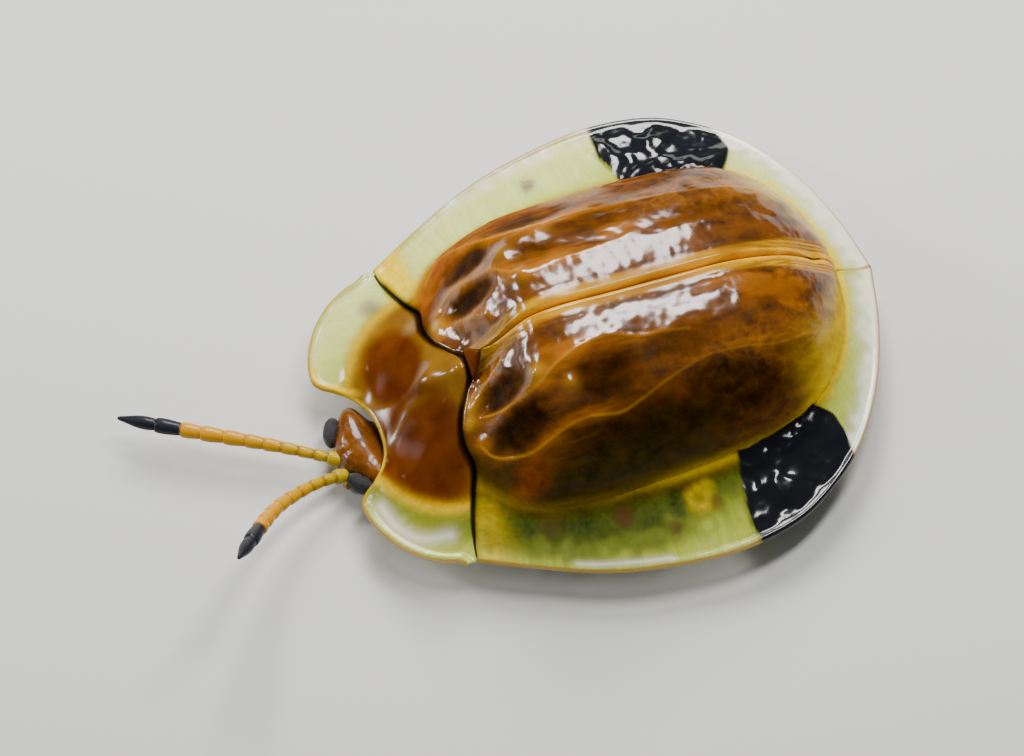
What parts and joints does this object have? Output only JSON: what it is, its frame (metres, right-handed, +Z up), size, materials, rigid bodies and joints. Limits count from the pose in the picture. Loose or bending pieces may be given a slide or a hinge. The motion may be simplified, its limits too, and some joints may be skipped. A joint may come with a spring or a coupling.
{
  "type": "tortoise beetle",
  "caption": "Life-size still tortoise beetle on its feet, with a domed amber shell, a clear flat rim with black hind patches, a notched pronotum and long feelers.",
  "frame": {"origin": "on the floor under the middle of the whole animal's box, feelers included", "axes": "+Z up, the head faces -Y, the beetle's left side is +X"},
  "size_m": [0.0108, 0.0166, 0.0044],
  "materials": {
    "wing_case_shell": "glossy amber-brown cuticle, clear yellow at the flat rim, with a black patch behind the middle",
    "pronotum_shell": "glossy red-brown cuticle with a clear pale yellow margin",
    "head_capsule": "glossy orange-brown cuticle",
    "compound_eye": "glossy near-black facets",
    "antenna_segments": "satin golden yellow with the last two segments blue-black",
    "underside_plates": "satin yellow-brown cuticle",
    "leg_cuticle": "satin golden-yellow cuticle with paler felted soles"
  },
  "bodies": {
    "root": {"pronotum": "pronotum_shell", "scutellum": "pronotum_shell", "elytron_left": "wing_case_shell", "elytron_right": "wing_case_shell", "head": "head_capsule", "mouthparts": "head_capsule", "eye_left": "compound_eye", "eye_right": "compound_eye", "antenna_left": "antenna_segments", "antenna_right": "antenna_segments", "prothorax": "underside_plates", "thorax": "underside_plates", "abdomen": "underside_plates", "leg_front_left": "leg_cuticle", "leg_front_right": "leg_cuticle", "leg_middle_left": "leg_cuticle", "leg_middle_right": "leg_cuticle", "leg_hind_left": "leg_cuticle", "leg_hind_right": "leg_cuticle"}
  },
  "joints": []
}
